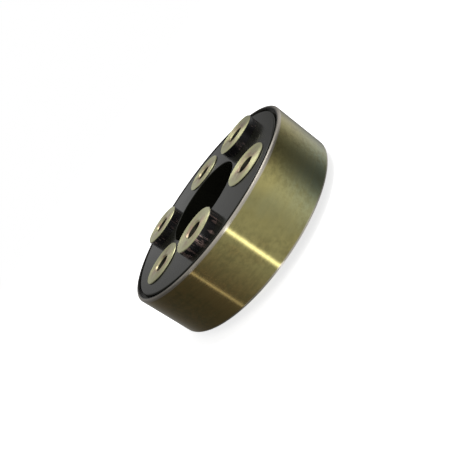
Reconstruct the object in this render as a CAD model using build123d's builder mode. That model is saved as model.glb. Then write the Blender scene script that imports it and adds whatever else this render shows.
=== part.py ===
"""
Disc coupling: a rubber disc moulded into a steel ring, with six steel bushes bonded into
it on one pitch circle. The bushes are alike but sit alternately towards the front and the
rear face. Three stand proud at the front and carry the driving flange, the three between
them stand proud at the rear and carry the driven flange, and the torque passes from one
set to the other through the rubber. The ring keeps the rubber from spreading.

Millimetres. Z is the shaft axis with the front face up. The rear bushes end at Z = 0.
"""

import os

from build123d import *

# Bushes, turned from steel bar: each flange bolts to its own three
bolts_per_flange = 3
pitch_circle = 87.0
bush_od = 28.0
bush_bore = 10.5  # clearance for an M10 bolt
bush_proud = 5.0  # how far a bush stands out of the ring on its own flange's side
bush_flush = 0.5  # how far its other end stands out
bush_edge = 0.4  # chamfer on the outer edges
bore_mouth = 0.8  # chamfer at both ends of the bore
front_angle = 30.0  # direction of the first front bush from +X

# Steel ring
ring_wall = 2.0
ring_width = 35.0
ring_corner = 1.5  # radius on both outer corners
ring_burr = 0.3  # chamfer on the edges of the ring's bore

# Rubber disc
web_outside = 8.0  # rubber left between a bush and the ring
web_inside = 2.0  # rubber left between a bush and the centre hole
rubber_inset = 0.2  # its faces lie this far inside the ring's faces
hole_lip = 0.5  # radius where the centre hole meets the faces
groove_width = 2.0  # moulded groove beside the ring, in both faces
groove_depth = 3.0
groove_root = 0.8  # radius at the bottom of the groove
groove_lip = 1.0  # radius on the rubber's edge beside the groove

# Circles and heights that follow from these
centre_hole = pitch_circle - bush_od - 2 * web_inside
ring_bore = pitch_circle + bush_od + 2 * web_outside
ring_od = ring_bore + 2 * ring_wall
ring_rear = bush_proud
ring_middle = ring_rear + ring_width / 2
bush_length = bush_proud + ring_width + bush_flush
rubber_height = ring_width - 2 * rubber_inset
pitch_radius = pitch_circle / 2
bush_spacing = 360 / bolts_per_flange

# Name, height of the lower end and direction of the first bush in each set of three
bush_sets = [
    ("front_bush", ring_rear - bush_flush, front_angle),
    ("rear_bush", ring_rear - bush_proud, front_angle + bush_spacing / 2),
]

os.makedirs("parts", exist_ok=True)


# Outer ring: a turned band with rounded corners outside and a broken edge inside
with BuildPart() as outer_ring:
    with BuildSketch(Plane.XY.offset(ring_rear)):
        Circle(ring_od / 2)
        Circle(ring_bore / 2, mode=Mode.SUBTRACT)
    extrude(amount=ring_width)
    rims = outer_ring.edges().filter_by(GeomType.CIRCLE).group_by(SortBy.RADIUS)
    fillet(rims[-1], ring_corner)
    chamfer(rims[0], ring_burr)

outer_ring.part.label = "outer_ring"
export_step(outer_ring.part, "parts/outer_ring.step")


# Rubber body: a moulded section turned about the shaft axis, then the seats of the bushes
with BuildPart() as rubber_body:
    with BuildSketch(Plane.XZ) as section:
        rubber_width = (ring_bore - centre_hole) / 2
        with Locations((centre_hole / 2, ring_middle)):
            Rectangle(rubber_width, rubber_height, align=(Align.MIN, Align.CENTER))
        for face_side in (-1, 1):
            with Locations((ring_bore / 2, ring_middle + face_side * rubber_height / 2)):
                Rectangle(2 * groove_width, 2 * groove_depth, mode=Mode.SUBTRACT)

        columns = section.vertices().group_by(Axis.X)
        hole_corners, groove_side = columns[0], columns[1].sort_by(Axis.Y)
        fillet(hole_corners, hole_lip)
        fillet([groove_side[0], groove_side[-1]], groove_lip)
        fillet(groove_side[1:3], groove_root)
    revolve(axis=Axis.Z)

    with BuildSketch(Plane.XY.offset(ring_rear)):
        with PolarLocations(pitch_radius, 2 * bolts_per_flange, start_angle=front_angle):
            Circle(bush_od / 2)
    extrude(amount=ring_width, mode=Mode.SUBTRACT)

rubber_body.part.label = "rubber_body"
export_step(rubber_body.part, "parts/rubber_body.step")


# Six equal bushes: one set sits towards the front, the other towards the rear
for set_name, lower_end, first_angle in bush_sets:
    for number in range(bolts_per_flange):
        with BuildPart() as bush:
            with BuildSketch(Plane.XY.offset(lower_end)):
                angle = first_angle + number * bush_spacing
                with PolarLocations(pitch_radius, 1, start_angle=angle):
                    Circle(bush_od / 2)
                    Circle(bush_bore / 2, mode=Mode.SUBTRACT)
            extrude(amount=bush_length)
            rims = bush.edges().filter_by(GeomType.CIRCLE).group_by(SortBy.RADIUS)
            chamfer(rims[-1], bush_edge)
            chamfer(rims[0], bore_mouth)

        bush.part.label = f"{set_name}_{number + 1}"
        export_step(bush.part, f"parts/{bush.part.label}.step")
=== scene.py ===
"""
Finished look of a disc coupling: a turned steel ring, the rubber disc moulded inside it
and six turned steel bushes bonded into the rubber. Metres, shaft axis on Z.
"""

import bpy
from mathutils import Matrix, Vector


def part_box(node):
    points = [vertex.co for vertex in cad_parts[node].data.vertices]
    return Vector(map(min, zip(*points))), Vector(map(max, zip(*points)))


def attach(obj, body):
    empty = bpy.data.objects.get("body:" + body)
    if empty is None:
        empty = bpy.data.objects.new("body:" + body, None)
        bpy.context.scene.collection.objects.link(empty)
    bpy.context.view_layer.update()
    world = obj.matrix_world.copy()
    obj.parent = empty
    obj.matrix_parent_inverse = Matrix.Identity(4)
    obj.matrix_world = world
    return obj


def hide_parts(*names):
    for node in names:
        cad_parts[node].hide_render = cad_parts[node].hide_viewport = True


bl_info = {
    "name": "Disc Coupling",
    "version": (1, 0, 0),
    "blender": (4, 5, 0),
    "location": "View3D > Sidebar > Coupling",
    "description": "Makes the finished pieces of a disc coupling and a studio for them",
    "category": "Add Mesh",
}

from math import cos, log, pi, radians, sin

import bmesh
import bpy
from bpy.props import FloatProperty, FloatVectorProperty, PointerProperty
from bpy.types import Operator, Panel, PropertyGroup
from mathutils import Quaternion, Vector

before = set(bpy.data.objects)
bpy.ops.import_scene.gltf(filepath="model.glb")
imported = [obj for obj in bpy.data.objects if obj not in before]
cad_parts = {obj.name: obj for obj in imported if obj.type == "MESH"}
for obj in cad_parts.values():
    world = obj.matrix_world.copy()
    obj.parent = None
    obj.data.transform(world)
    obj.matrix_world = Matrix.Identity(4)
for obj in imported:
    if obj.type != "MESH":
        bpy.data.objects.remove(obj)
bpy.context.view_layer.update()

RING_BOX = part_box("outer_ring")
RUBBER_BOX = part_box("rubber_body")
BUSH_NODES = [f"{side}_bush_{number}" for side in ("front", "rear") for number in (1, 2, 3)]
BUSH_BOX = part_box(BUSH_NODES[0])

# Fineness of the meshes
TURNS = 288  # facets round the ring, the rubber and the surround
BUSH_TURNS = 96  # facets round a bush and its seat
ROUND_STEPS = 6  # facets across a rounded corner
SHARP_ANGLE = radians(28)  # an edge that folds more than this is shaded sharp
# A loop this far from a rounded corner keeps the shading of the wall beside it flat
RING_HOLD = 0.0004
RUBBER_HOLD = 0.0003
SEAT_CUTTER_HEIGHT = 0.08  # goes well past both faces of the rubber
# Points nearer than this are merged
SEAM = 1e-7  # where a turned piece closes
SLIVER = 3e-6  # where the seats cut the rubber
SHORTEST_EDGE = 1e-6

# Finishes
RELIEF = 0.00002  # depth of the tool's lines and of the grain of the rubber
RAGGED = 0.0008  # how far the clouding shifts the edge of worn metal and of the painted shade on the rims
WEAR_START, WEAR_END = 0.0002, 0.0009  # the film thins out here, past the start of a corner
RIM_SHADE_START, RIM_SHADE_END = 0.0001, 0.0008  # the painted shade on the rims thins out here, past its width
# How much rougher or smoother than its setting a surface is
WORN_ROUGHER = 0.20
DUSTY_ROUGHER = 0.08
DRILLED_ROUGHER = 0.25
OUTSIDE_SMOOTHER = 0.10

# Studio
FLOOR_RADIUS = 6.0
FLOOR_FACETS = 96
FLOOR_GLOW = 0.75  # added to the floor where it is seen
WORLD_FILL = 0.42  # how bright the world is to a matt surface, where white is 1
LAMP_DIRECTION = (60.0, 72.0)  # from +X and above the horizon in degrees
LAMP_TARGET = (0, 0, 0.0225)  # half-way up the coupling
LAMP_DISTANCE = 0.8
LAMP_SIZE = 0.5
LAMP_POWER = 4.0
SENSOR_WIDTH = 36.0
CLIP_START, CLIP_END = 0.01, 20.0

# Surround: dark cards round the table, then a grey canopy
SURROUND_RADIUS = 0.110
PIT_DEPTH = 0.100  # how far the cards go below the table, so that the ring mirrors them to its foot
CARD_HEIGHT = 0.130
CARD_GREY = 0.10
CANOPY_HEIGHT = 0.320
CANOPY_GREY = 0.55
CANOPY_BLEND = 0.03  # above and below the top of the cards
# Soft boxes: direction from +X and width in degrees, brightness
CANOPY_BOXES = [(60.0, 40.0, 4.0)]
CARD_BOXES = [
    (248.0, 1.0, 1.5),  # thin strip
    (284.0, 2.0, 3.5),  # main strip
    (295.0, 60.0, 0.5),  # glow round the main strip
    (325.0, 20.0, 0.5),  # broad box
    (25.0, 30.0, 0.6),  # side
    (120.0, 90.0, 0.4),  # back
]


# Sizes and colours


def length(name, description, default):
    return FloatProperty(
        name=name,
        description=description,
        default=default,
        min=0.0,
        unit="LENGTH",
        precision=5,
    )


def colour(name, description, default):
    return FloatVectorProperty(
        name=name,
        description=description,
        default=default,
        min=0.0,
        max=1.0,
        size=3,
        subtype="COLOR",
    )


def share(name, description, default):
    return FloatProperty(
        name=name,
        description=description,
        default=default,
        min=0.0,
        max=1.0,
        subtype="FACTOR",
    )


def angle(name, description, degrees):
    return FloatProperty(
        name=name,
        description=description,
        default=radians(degrees),
        subtype="ANGLE",
    )


class RingSettings(PropertyGroup):
    """Sizes and finish of the turned ring"""

    corner: length("Corner", "Radius on both outer corners", 0.0015)
    burr: length("Broken edge", "Chamfer on the edges of the bore", 0.0003)
    metal: colour("Metal", "Colour of the turned ring", (0.40, 0.36, 0.145))
    brown: colour("Brown", "Colour of the passivation where it is brownish", (0.38, 0.27, 0.10))
    # Also the colour of the painted cool reflection low on one side
    green: colour("Green", "Colour of the passivation where it is greenish", (0.28, 0.34, 0.24))
    bare: colour(
        "Bare metal",
        "Colour of the corners, where the yellow film has worn off",
        (0.62, 0.57, 0.49),
    )
    # Painted shade: a dark band along the inner edges of the rims
    painted_rim_shade: colour(
        "Flash",
        "Colour of the rubber that has crept over the inner edges",
        (0.055, 0.052, 0.043),
    )
    # Width of the painted shade band on the rims
    painted_rim_shade_width: length("Flash width", "How far the rubber has crept over the rims", 0.0005)
    roughness: share("Roughness", "How far the ring spreads a reflection", 0.18)
    line_pitch: length("Line pitch", "Distance between two lines left by the tool", 0.00035)


class RubberSettings(PropertyGroup):
    """Sizes and finish of the moulded rubber disc"""

    centre_hole: length("Centre hole", "Diameter of the open centre", 0.055)
    hole_lip: length("Hole lip", "Radius where the centre hole meets the faces", 0.0005)
    groove_width: length("Groove width", "Width of the groove beside the ring", 0.002)
    groove_depth: length("Groove depth", "Depth of the groove beside the ring", 0.003)
    groove_root: length("Groove root", "Radius at the bottom of the groove", 0.0008)
    groove_lip: length("Groove lip", "Radius on the edge beside the groove", 0.001)
    black: colour("Black", "Colour of the rubber", (0.009, 0.009, 0.0065))
    roughness: share("Roughness", "How far the rubber spreads a reflection", 0.15)


class BushSettings(PropertyGroup):
    """Sizes and finish of the six turned bushes"""

    bore: length("Bore", "Diameter of the bolt hole", 0.0105)
    edge: length("Edge", "Chamfer on the outer edges", 0.0004)
    mouth: length("Bore mouth", "Chamfer at both ends of the bore", 0.0008)
    metal: colour("Metal", "Colour of the turned bushes", (0.66, 0.65, 0.36))
    warm: colour("Warm tint", "Colour of the bushes near the bore", (0.50, 0.34, 0.25))
    # Painted shade: the inside of the bore is painted dark
    painted_bore_shade: colour("Drilled", "Colour inside the bore", (0.12, 0.115, 0.085))
    # Painted shade: the outside of the bushes is painted near black
    side: colour("Side", "Colour of the bonding lacquer on the outside", (0.010, 0.009, 0.010))
    # Painted highlight: pink streaks on the outside, most on the bush nearest -Y
    painted_pink_highlight: colour(
        "Rubbed lacquer",
        "Colour of the outside where the lacquer is thin",
        (0.62, 0.43, 0.38),
    )
    roughness: share("Roughness", "How far a bush spreads a reflection", 0.34)


class StudioSettings(PropertyGroup):
    """Camera and floor"""

    azimuth: angle("Azimuth", "Direction of the camera from +X", -68.887)
    elevation: angle("Elevation", "Height of the camera above the horizon", 16.875)
    roll: angle("Roll", "Turn of the camera about its own axis", -55.373)
    distance: length("Distance", "From the camera to the point it looks at", 0.30842)
    aim: FloatVectorProperty(
        name="Aim",
        description="Point that the camera looks at",
        default=(-0.00408, -0.0023, 0.02028),
        size=3,
        subtype="TRANSLATION",
        unit="LENGTH",
        precision=5,
    )
    lens: FloatProperty(
        name="Lens",
        description="Focal length on a 36 mm sensor",
        default=41.64,
        min=1.0,
        unit="CAMERA",
    )
    floor: colour("Floor", "Colour of the floor", (0.80, 0.80, 0.80))


# Modelling


def direction(azimuth, elevation=0.0):
    """A unit vector, from its angles in radians."""
    return Vector(
        (cos(azimuth) * cos(elevation), sin(azimuth) * cos(elevation), sin(elevation))
    )


def sharp(radius, height):
    """A corner of a section, or a point on its edge, left as it is."""
    return radius, height, 0.0, 0


def chamfered(radius, height, size):
    """A corner of a section, cut off."""
    return radius, height, size, 1


def rounded(radius, height, size):
    """A corner of a section, rounded to the radius size."""
    return radius, height, size, ROUND_STEPS


def turn(bm, centre, turns, merge):
    """Spin an outline once round a vertical axis and merge the points that meet."""
    bmesh.ops.spin(
        bm,
        geom=bm.verts[:] + bm.edges[:],
        cent=(*centre, 0.0),
        axis=(0, 0, 1),
        angle=2 * pi,
        steps=turns,
        use_merge=True,
    )
    bmesh.ops.remove_doubles(bm, verts=bm.verts[:], dist=merge)


def turned(corners, turns, centre=(0.0, 0.0)):
    """A closed section turned about the vertical axis through centre."""
    bm = bmesh.new()
    section = [
        bm.verts.new((centre[0] + radius, centre[1], height))
        for radius, height, size, steps in corners
    ]
    for near, far in zip(section, section[1:] + section[:1]):
        bm.edges.new((near, far))
    for vert, (radius, height, size, steps) in zip(section, corners):
        if size:
            bmesh.ops.bevel(
                bm,
                geom=[vert],
                offset=size,
                segments=steps,
                profile=0.5,
                affect="VERTICES",
                material=-1,
            )
    turn(bm, centre, turns, merge=SEAM)
    bmesh.ops.recalc_face_normals(bm, faces=bm.faces[:])
    return bm


def linked(bm, name):
    """The finished mesh as an object of the scene."""
    mesh = bpy.data.meshes.new(name)
    bm.to_mesh(mesh)
    bm.free()
    obj = bpy.data.objects.new(name, mesh)
    bpy.context.scene.collection.objects.link(obj)
    return obj


def smooth(mesh):
    """Shade a mesh smooth across its rounded corners and sharp at its edges."""
    for face in mesh.polygons:
        face.use_smooth = True
    mesh.set_sharp_from_angle(angle=SHARP_ANGLE)


def piece(bm, name, material):
    """The finished mesh as a piece of the coupling."""
    obj = linked(bm, name)
    smooth(obj.data)
    obj.data.materials.append(material)
    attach(obj, "root")
    return obj


# Finishes


class Nodes:
    """The nodes of a material or a world, each made with its values and linked in one call."""

    def __init__(self, owner, surface="BsdfPrincipled", output="OutputMaterial"):
        owner.use_nodes = True
        self.owner, self.tree = owner, owner.node_tree
        self.tree.nodes.clear()
        out = self.add(output)
        self.shader = self.add(surface)
        self.link(self.shader.outputs[0], out.inputs["Surface"])

    def add(self, kind, values=None, **settings):
        """A new node. values go to its sockets and settings to the node itself."""
        node = self.tree.nodes.new("ShaderNode" + kind)
        for key, value in settings.items():
            setattr(node, key, value)
        for socket, value in (values or {}).items():
            self.set(node.inputs[socket], value)
        return node

    def set(self, socket, value):
        """Link another socket to this one, or give it a plain value."""
        if isinstance(value, bpy.types.NodeSocket):
            self.link(value, socket)
        elif socket.type == "RGBA":
            socket.default_value = (*value[:3], 1.0)
        else:
            socket.default_value = value

    def link(self, source, target):
        self.tree.links.new(source, target)

    def shade(self, values):
        """Give the shader its values."""
        for socket, value in values.items():
            self.set(self.shader.inputs[socket], value)

    def math(self, operation, *values):
        return self.add("Math", dict(enumerate(values)), operation=operation).outputs[0]

    def times(self, a, b):
        return self.math("MULTIPLY", a, b)

    def times_plus(self, a, b, c):
        return self.math("MULTIPLY_ADD", a, b, c)

    def vector(self, operation, *values):
        node = self.add("VectorMath", dict(enumerate(values)), operation=operation)
        return node.outputs["Value" if operation in {"LENGTH", "DOT_PRODUCT"} else "Vector"]

    def mix(self, factor, a, b, strength=1.0):
        """Colour a where the factor is 0, and b, or as far to b as strength says, where it is 1."""
        if strength < 1.0:
            factor = self.times(factor, strength)
        return self.add("Mix", {"Factor": factor, 6: a, 7: b}, data_type="RGBA").outputs[2]

    def ramp(self, value, low, high):
        """0 at low, 1 at high and held beyond them."""
        span = {"Value": value, "From Min": low, "From Max": high}
        return self.add("MapRange", span, clamp=True).outputs[0]

    def varied(self, value, by, spread):
        """The value give or take half of spread, as a pattern of 0 to 1 varies it."""
        return self.times_plus(by, spread, value - spread / 2)

    def bump(self, height, strength):
        """A normal for a fine relief."""
        relief = {"Height": height, "Strength": strength, "Distance": RELIEF}
        return self.add("Bump", relief).outputs["Normal"]

    def noise(self, vector, scale, detail=2.0, roughness=0.5):
        pattern = {"Vector": vector, "Scale": scale, "Detail": detail, "Roughness": roughness}
        return self.add("TexNoise", pattern).outputs["Fac"]

    def place(self, shift=(0, 0, 0), squeeze=(1, 1, 1)):
        """A point of the piece. squeeze above 1 makes a pattern finer along an axis."""
        where = self.add("TexCoord").outputs["Object"]
        mapping = {"Vector": where, "Location": shift, "Scale": squeeze}
        return self.add("Mapping", mapping).outputs["Vector"]

    def along(self, azimuth, elevation=0.0):
        """How far a point of the piece lies in a direction, which is in degrees."""
        axis = direction(radians(azimuth), radians(elevation))
        return self.vector("DOT_PRODUCT", self.place(), axis)

    def coordinate(self, axis):
        """One coordinate of a point of the piece."""
        return self.add("SeparateXYZ", {0: self.place()}).outputs[axis]


def scaled(tone, factor):
    """A colour made darker or lighter."""
    return [min(1.0, part * factor) for part in tone]


def ring_finish(settings):
    """Turned steel with a clouded olive passivation, worn off the corners, with painted shade along
    the inner edges of the rims and a painted cool reflection low on one side.
    """
    n = Nodes(bpy.data.materials.new("turned_ring_steel"))
    tool_lines, tool_bands = (6.0, 6.0, 1.0 / settings.line_pitch), (5.0, 5.0, 600.0)
    lines = n.noise(n.place(squeeze=tool_lines), scale=1.0, roughness=0.6)
    bands = n.noise(n.place((0, 0, 0.3), tool_bands), scale=1.0)
    cloudy = n.place((0.11, 0.04, 0), (1.0, 1.0, 0.6))
    clouds = n.noise(cloudy, scale=38.0, detail=4.0, roughness=0.6)
    tinted = n.place((0.3, 0.17, 0), (1.0, 1.0, 1.6))
    tints = n.noise(tinted, scale=17.0, detail=3.0, roughness=0.55)
    grainy = n.place((0.2, 0.1, 0), (1.0, 1.0, 1.4))
    grain = n.noise(grainy, scale=300.0, detail=4.0, roughness=0.7)

    # Greener low on one side, a painted cool reflection; browner towards another side; greenish and
    # brownish patches of the film elsewhere
    painted_cool_reflection = n.ramp(n.along(azimuth=335, elevation=-20), low=0.050, high=0.062)
    green_patches = n.times(n.ramp(tints, low=0.54, high=0.72), 0.35)
    green_patches_and_reflection = n.times_plus(painted_cool_reflection, 0.9, green_patches)
    brown_side = n.ramp(n.along(azimuth=245), low=0.054, high=0.064)
    brown_clouds = n.ramp(clouds, low=0.48, high=0.68)
    brown_patches = n.times(brown_clouds, n.ramp(tints, low=0.52, high=0.38))
    browned = n.math("MAXIMUM", brown_patches, brown_side)
    film = n.mix(browned, n.mix(green_patches_and_reflection, settings.metal, settings.green), settings.brown)

    # Darker mottling, and lines that the tool left brighter
    mottling = n.times(n.ramp(grain, low=0.40, high=0.60), n.ramp(clouds, low=0.35, high=0.6))
    mottled = n.mix(mottling, film, scaled(settings.metal, 0.55), strength=0.7)
    scuffed = n.ramp(n.times(lines, bands), low=0.18, high=0.38)
    wall = n.mix(scuffed, mottled, scaled(settings.metal, 1.2), strength=0.18)

    # Bare corners, and a painted shade band along the inner edges of the rims
    bottom, top = RING_BOX[0].z, RING_BOX[1].z
    above_middle = n.math("SUBTRACT", n.coordinate("Z"), (bottom + top) / 2)
    from_middle = n.math("ABSOLUTE", above_middle)
    worn = n.times_plus(clouds, RAGGED, from_middle)
    corner_start = (top - bottom) / 2 - settings.corner
    bare = n.ramp(worn, low=corner_start + WEAR_START, high=corner_start + WEAR_END)
    from_axis = n.vector("LENGTH", n.vector("MULTIPLY", n.place(), (1, 1, 0)))
    rim_shade_reach = n.times_plus(clouds, RAGGED, from_axis)
    edge = RUBBER_BOX[1].y + settings.painted_rim_shade_width
    painted_rim_shade = n.ramp(rim_shade_reach, low=edge + RIM_SHADE_END, high=edge + RIM_SHADE_START)

    rough = n.varied(settings.roughness, bands, spread=0.06)
    n.shade({
        "Base Color": n.mix(painted_rim_shade, n.mix(bare, wall, settings.bare), settings.painted_rim_shade),
        "Metallic": 1.0,
        "Roughness": n.times_plus(bare, WORN_ROUGHER, rough),
        "Anisotropic": 0.97,
        "Anisotropic Rotation": 0.25,
        "Tangent": n.add("Tangent", direction_type="RADIAL", axis="Z").outputs[0],
        "Normal": n.bump(lines, strength=0.04),
    })
    return n.owner


def rubber_finish(settings):
    """Moulded black rubber with a slight shine, a fine grain and a little dust."""
    n = Nodes(bpy.data.materials.new("moulded_rubber"))
    grain = n.noise(n.place(), scale=2600.0)
    dust = n.noise(n.place((0.02, 0.05, 0)), scale=55.0, detail=3.0, roughness=0.55)
    dusty = n.ramp(dust, low=0.40, high=0.75)
    n.shade({
        "Base Color": n.mix(dusty, settings.black, scaled(settings.black, 1.8), strength=0.35),
        "Roughness": n.times_plus(dusty, DUSTY_ROUGHER, settings.roughness),
        "IOR": 1.3,
        "Specular IOR Level": 0.3,
        "Specular Tint": (1.0, 1.0, 0.86),
        "Normal": n.bump(grain, strength=0.15),
    })
    return n.owner


def bush_finish(settings):
    """Steel faced on the lathe, with fine rings about its own axis; painted shade on the outside
    and in the bore, and painted pink highlights outside.
    """
    n = Nodes(bpy.data.materials.new("turned_bush_steel"))
    from_axis = n.add("Attribute", attribute_name="from_axis").outputs["Vector"]
    radius = n.vector("LENGTH", from_axis)
    pattern = {"W": radius, "Scale": 3400.0, "Detail": 3.0}
    rings = n.add("TexNoise", pattern, noise_dimensions="1D").outputs["Fac"]
    clouds = n.noise(n.place(), scale=160.0, detail=3.0, roughness=0.6)

    # Ends: pale metal, warmer near the bore, with darker rings
    near_bore = n.ramp(radius, low=0.0122, high=0.0068)
    warmed = n.times(near_bore, n.ramp(clouds, low=0.38, high=0.60))
    tinted = n.mix(warmed, settings.metal, settings.warm)
    ringed = n.ramp(rings, low=0.42, high=0.72)
    face = n.mix(ringed, tinted, scaled(settings.metal, 0.72), strength=0.45)

    # Outside: painted shade in near black, with painted pink highlights in upright streaks, most on
    # the bush nearest -Y
    upright_noise = n.noise(n.place(squeeze=(1.0, 1.0, 0.18)), scale=600.0)
    streaked = n.times(n.ramp(upright_noise, low=0.52, high=0.60), n.ramp(clouds, low=0.44, high=0.54))
    nearest_minus_y = n.ramp(n.coordinate("Y"), low=-0.040, high=-0.052)
    painted_pink_highlight = n.times(streaked, n.math("MAXIMUM", nearest_minus_y, 0.25))
    painted_shade_and_highlight = n.mix(painted_pink_highlight, settings.side, settings.painted_pink_highlight)

    # The outside begins on the chamfer of its edge, the bore at the foot of its mouth
    outer, bore = (BUSH_BOX[1].y - BUSH_BOX[0].y) / 2, settings.bore / 2
    edge, mouth = settings.edge, settings.mouth
    outside = n.ramp(radius, low=outer - edge * 0.6, high=outer - edge * 0.1)
    # The bore carries painted shade and is rougher
    inside = n.ramp(radius, low=bore + mouth * 0.15, high=bore + mouth * 0.03)
    # The painted shade of the outside is not metal
    dark_outside = n.times(outside, n.math("SUBTRACT", 1.0, painted_pink_highlight))
    rough = n.varied(settings.roughness, clouds, spread=0.10)
    rough = n.times_plus(inside, DRILLED_ROUGHER, rough)
    n.shade({
        "Base Color": n.mix(inside, n.mix(outside, face, painted_shade_and_highlight), settings.painted_bore_shade),
        "Metallic": n.math("SUBTRACT", 1.0, dark_outside),
        "Roughness": n.times_plus(outside, -OUTSIDE_SMOOTHER, rough),
        "Anisotropic": 0.8,
        "Anisotropic Rotation": 0.25,
        "Tangent": n.vector("CROSS_PRODUCT", (0, 0, 1), from_axis),
        "Normal": n.bump(rings, strength=0.2),
    })
    return n.owner


# Operators


class COUPLING_OT_ring(Operator):
    """Make the turned steel ring"""

    bl_idname = "coupling.ring"
    bl_label = "Steel Ring"

    def execute(self, context):
        settings = context.scene.coupling_ring
        outer, inner = RING_BOX[1].y, RUBBER_BOX[1].y
        low, high = RING_BOX[0].z, RING_BOX[1].z
        hold = settings.corner + RING_HOLD
        section = [
            chamfered(inner, low, settings.burr),
            sharp(outer - hold, low),
            rounded(outer, low, settings.corner),
            sharp(outer, low + hold),
            sharp(outer, high - hold),
            rounded(outer, high, settings.corner),
            sharp(outer - hold, high),
            chamfered(inner, high, settings.burr),
        ]
        ring = piece(turned(section, TURNS), "steel_ring", ring_finish(settings))
        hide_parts("outer_ring")
        return {"FINISHED"}


class COUPLING_OT_rubber(Operator):
    """Make the moulded rubber disc with the seats of the bushes"""

    bl_idname = "coupling.rubber"
    bl_label = "Rubber Disc"

    def face_section(self, settings, face, inwards):
        """The section's corners at one face, from the centre hole to the foot of the groove."""
        hole, ring = settings.centre_hole / 2, RUBBER_BOX[1].y
        groove = ring - settings.groove_width
        foot = face + inwards * settings.groove_depth
        return [
            sharp(hole, face + inwards * (settings.hole_lip + RUBBER_HOLD)),
            rounded(hole, face, settings.hole_lip),
            sharp(hole + settings.hole_lip + RUBBER_HOLD, face),
            sharp(groove - settings.groove_lip - RUBBER_HOLD, face),
            rounded(groove, face, settings.groove_lip),
            rounded(groove, foot, settings.groove_root),
            sharp(ring, foot),
        ]

    def seat_cutter(self):
        """Upright cylinders where the six bushes go."""
        bm = bmesh.new()
        for node in BUSH_NODES:
            lowest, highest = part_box(node)
            centre = (lowest + highest) / 2
            radius = (highest.x - lowest.x) / 2
            made = bmesh.ops.create_cone(
                bm,
                cap_ends=True,
                segments=BUSH_TURNS,
                radius1=radius,
                radius2=radius,
                depth=SEAT_CUTTER_HEIGHT,
            )
            centre.z = (RUBBER_BOX[0].z + RUBBER_BOX[1].z) / 2
            bmesh.ops.translate(bm, verts=made["verts"], vec=centre)
        return linked(bm, "seats")

    def cut_seats(self, context, disc):
        """Cut the seats and clear away the slivers they leave."""
        cutter = self.seat_cutter()
        cut = disc.modifiers.new("seats", "BOOLEAN")
        cut.operation, cut.solver, cut.object = "DIFFERENCE", "EXACT", cutter
        evaluated = disc.evaluated_get(context.evaluated_depsgraph_get())
        mesh = bpy.data.meshes.new_from_object(evaluated)
        disc.modifiers.clear()
        disc.data = mesh
        bpy.data.objects.remove(cutter)

        bm = bmesh.new()
        bm.from_mesh(mesh)
        bmesh.ops.remove_doubles(bm, verts=bm.verts[:], dist=SLIVER)
        bmesh.ops.dissolve_degenerate(bm, edges=bm.edges[:], dist=SHORTEST_EDGE)
        bm.to_mesh(mesh)
        bm.free()
        smooth(mesh)
        if len(mesh.polygons) < TURNS:
            raise RuntimeError("the seats left too little of the rubber disc")

    def execute(self, context):
        settings = context.scene.coupling_rubber
        rear = self.face_section(settings, RUBBER_BOX[0].z, 1)
        front = self.face_section(settings, RUBBER_BOX[1].z, -1)
        bm = turned(rear + front[::-1], TURNS)
        disc = piece(bm, "rubber_disc", rubber_finish(settings))
        self.cut_seats(context, disc)
        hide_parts("rubber_body")
        return {"FINISHED"}


class COUPLING_OT_bushes(Operator):
    """Make the six turned steel bushes"""

    bl_idname = "coupling.bushes"
    bl_label = "Bushes"

    def execute(self, context):
        settings = context.scene.coupling_bushes
        finish = bush_finish(settings)
        for node in BUSH_NODES:
            lowest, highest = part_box(node)
            centre = ((lowest.x + highest.x) / 2, (lowest.y + highest.y) / 2)
            outer, bore = (highest.y - lowest.y) / 2, settings.bore / 2
            section = [
                chamfered(bore, lowest.z, settings.mouth),
                chamfered(outer, lowest.z, settings.edge),
                chamfered(outer, highest.z, settings.edge),
                chamfered(bore, highest.z, settings.mouth),
            ]
            bm = turned(section, BUSH_TURNS, centre)
            from_axis = bm.verts.layers.float_vector.new("from_axis")
            for vert in bm.verts:
                vert[from_axis] = Vector((vert.co.x - centre[0], vert.co.y - centre[1], 0.0))
            bush = piece(bm, "turned_" + node, finish)
            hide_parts(node)
        return {"FINISHED"}


def stage_piece(bm, name, nodes):
    """Part of the studio, not of the coupling."""
    obj = linked(bm, name)
    obj.data.materials.append(nodes.owner)
    return obj


def seen(n):
    """1 for a ray from the camera, a mirror or glass, 0 for the rays that light a matt surface."""
    path = n.add("LightPath").outputs
    shown = n.math("MAXIMUM", path["Is Camera Ray"], path["Is Glossy Ray"])
    return n.math("MAXIMUM", shown, path["Is Transmission Ray"])


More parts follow.
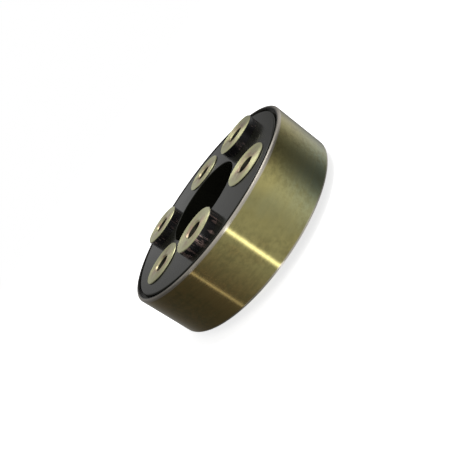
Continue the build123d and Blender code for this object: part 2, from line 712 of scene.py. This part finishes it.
class COUPLING_OT_studio(Operator):
    """Make the floor, the light and the camera"""

    bl_idname = "coupling.studio"
    bl_label = "Studio"

    def floor(self, settings):
        """A pale floor that glows only where it is seen, so that it lights nothing from below."""
        bm = bmesh.new()
        bmesh.ops.create_circle(bm, cap_ends=True, segments=FLOOR_FACETS, radius=FLOOR_RADIUS)
        n = Nodes(bpy.data.materials.new("pale_floor"), "AddShader")
        matt = n.add("BsdfDiffuse", {"Color": settings.floor})
        strength = n.times(seen(n), FLOOR_GLOW)
        glow = n.add("Emission", {"Color": (1, 1, 1), "Strength": strength})
        n.link(matt.outputs[0], n.shader.inputs[0])
        n.link(glow.outputs[0], n.shader.inputs[1])
        stage_piece(bm, "floor", n).visible_glossy = False

    def world(self, scene):
        """White where it is seen and dimmer to matt surfaces."""
        scene.world = bpy.data.worlds.new("studio")
        n = Nodes(scene.world, "Background", "OutputWorld")
        n.shade({"Color": (1, 1, 1), "Strength": n.math("MAXIMUM", seen(n), WORLD_FILL)})

    def surround(self):
        """Dark cards with soft boxes between them, under a grey canopy, for reflections only."""
        bm = bmesh.new()
        places = (
            (0.0, -PIT_DEPTH),
            (SURROUND_RADIUS, -PIT_DEPTH),
            (SURROUND_RADIUS, CARD_HEIGHT),
            (SURROUND_RADIUS, CANOPY_HEIGHT),
        )
        rim = [bm.verts.new((radius, 0, height)) for radius, height in places]
        for near, far in zip(rim, rim[1:]):
            bm.edges.new((near, far))
        turn(bm, (0.0, 0.0), TURNS, merge=SHORTEST_EDGE)

        n = Nodes(bpy.data.materials.new("cards"), "Emission")
        around = n.vector("NORMALIZE", n.vector("MULTIPLY", n.place(), (1, 1, 0)))

        def lit(level, boxes):
            """A grey with soft boxes on it, each half as bright at the ends of its width."""
            for azimuth, width, brightness in boxes:
                aimed = n.vector("DOT_PRODUCT", around, direction(radians(azimuth)))
                falloff = log(0.5) / log(cos(radians(width / 2)))
                lobe = n.math("POWER", n.math("MAXIMUM", aimed, 0.0), falloff)
                level = n.times_plus(lobe, brightness, level)
            return level

        low, high = CARD_HEIGHT - CANOPY_BLEND, CARD_HEIGHT + CANOPY_BLEND
        above = n.ramp(n.coordinate("Z"), low, high)
        cards, canopy = lit(CARD_GREY, CARD_BOXES), lit(CANOPY_GREY, CANOPY_BOXES)
        n.shade({"Color": n.mix(above, cards, canopy)})
        obj = stage_piece(bm, "surround", n)
        obj.visible_camera = obj.visible_diffuse = False
        obj.visible_shadow = obj.visible_transmission = False

    def overhead(self, scene):
        """One large lamp for the matt surfaces and the shadow."""
        light = bpy.data.lights.new("overhead", "AREA")
        light.size, light.energy = LAMP_SIZE, LAMP_POWER
        lamp = bpy.data.objects.new("overhead", light)
        towards = direction(*map(radians, LAMP_DIRECTION))
        lamp.location = Vector(LAMP_TARGET) + towards * LAMP_DISTANCE
        lamp.rotation_mode = "QUATERNION"
        lamp.rotation_quaternion = towards.to_track_quat("Z", "Y")
        lamp.visible_camera = lamp.visible_glossy = False
        scene.collection.objects.link(lamp)

    def camera(self, scene, settings):
        """The camera, placed by its angles about the point it looks at."""
        camera = bpy.data.cameras.new("camera")
        camera.sensor_width, camera.lens = SENSOR_WIDTH, settings.lens
        camera.clip_start, camera.clip_end = CLIP_START, CLIP_END
        obj = bpy.data.objects.new("camera", camera)
        back = direction(settings.azimuth, settings.elevation)
        roll = Quaternion((0, 0, 1), settings.roll)
        obj.location = Vector(settings.aim) + back * settings.distance
        obj.rotation_mode = "QUATERNION"
        obj.rotation_quaternion = back.to_track_quat("Z", "Y") @ roll
        scene.collection.objects.link(obj)
        scene.camera = obj

    def execute(self, context):
        scene, settings = context.scene, context.scene.coupling_studio
        self.floor(settings)
        self.world(scene)
        self.surround()
        self.overhead(scene)
        self.camera(scene, settings)
        scene.view_settings.view_transform = "Standard"
        return {"FINISHED"}


class VIEW3D_PT_coupling(Panel):
    """Pieces and settings of the disc coupling"""

    bl_label = "Disc Coupling"
    bl_space_type = "VIEW_3D"
    bl_region_type = "UI"
    bl_category = "Coupling"

    def draw(self, context):
        for operator, group, settings_type in STEPS:
            box = self.layout.box()
            box.operator(operator.bl_idname)
            settings = getattr(context.scene, group)
            for name in settings.bl_rna.properties.keys():
                if name not in {"rna_type", "name"}:
                    box.prop(settings, name)


# Each step's operator, the name of its settings on the scene and their type
STEPS = [
    (COUPLING_OT_ring, "coupling_ring", RingSettings),
    (COUPLING_OT_rubber, "coupling_rubber", RubberSettings),
    (COUPLING_OT_bushes, "coupling_bushes", BushSettings),
    (COUPLING_OT_studio, "coupling_studio", StudioSettings),
]
CLASSES = [
    *[settings_type for operator, group, settings_type in STEPS],
    *[operator for operator, group, settings_type in STEPS],
    VIEW3D_PT_coupling,
]


def register():
    for cls in CLASSES:
        bpy.utils.register_class(cls)
    for operator, group, settings_type in STEPS:
        setattr(bpy.types.Scene, group, PointerProperty(type=settings_type))


def unregister():
    for operator, group, settings_type in STEPS:
        delattr(bpy.types.Scene, group)
    for cls in reversed(CLASSES):
        bpy.utils.unregister_class(cls)


def main():
    register()
    bpy.ops.coupling.ring()
    bpy.ops.coupling.rubber()
    bpy.ops.coupling.bushes()
    bpy.ops.coupling.studio()


if __name__ == "__main__":
    main()
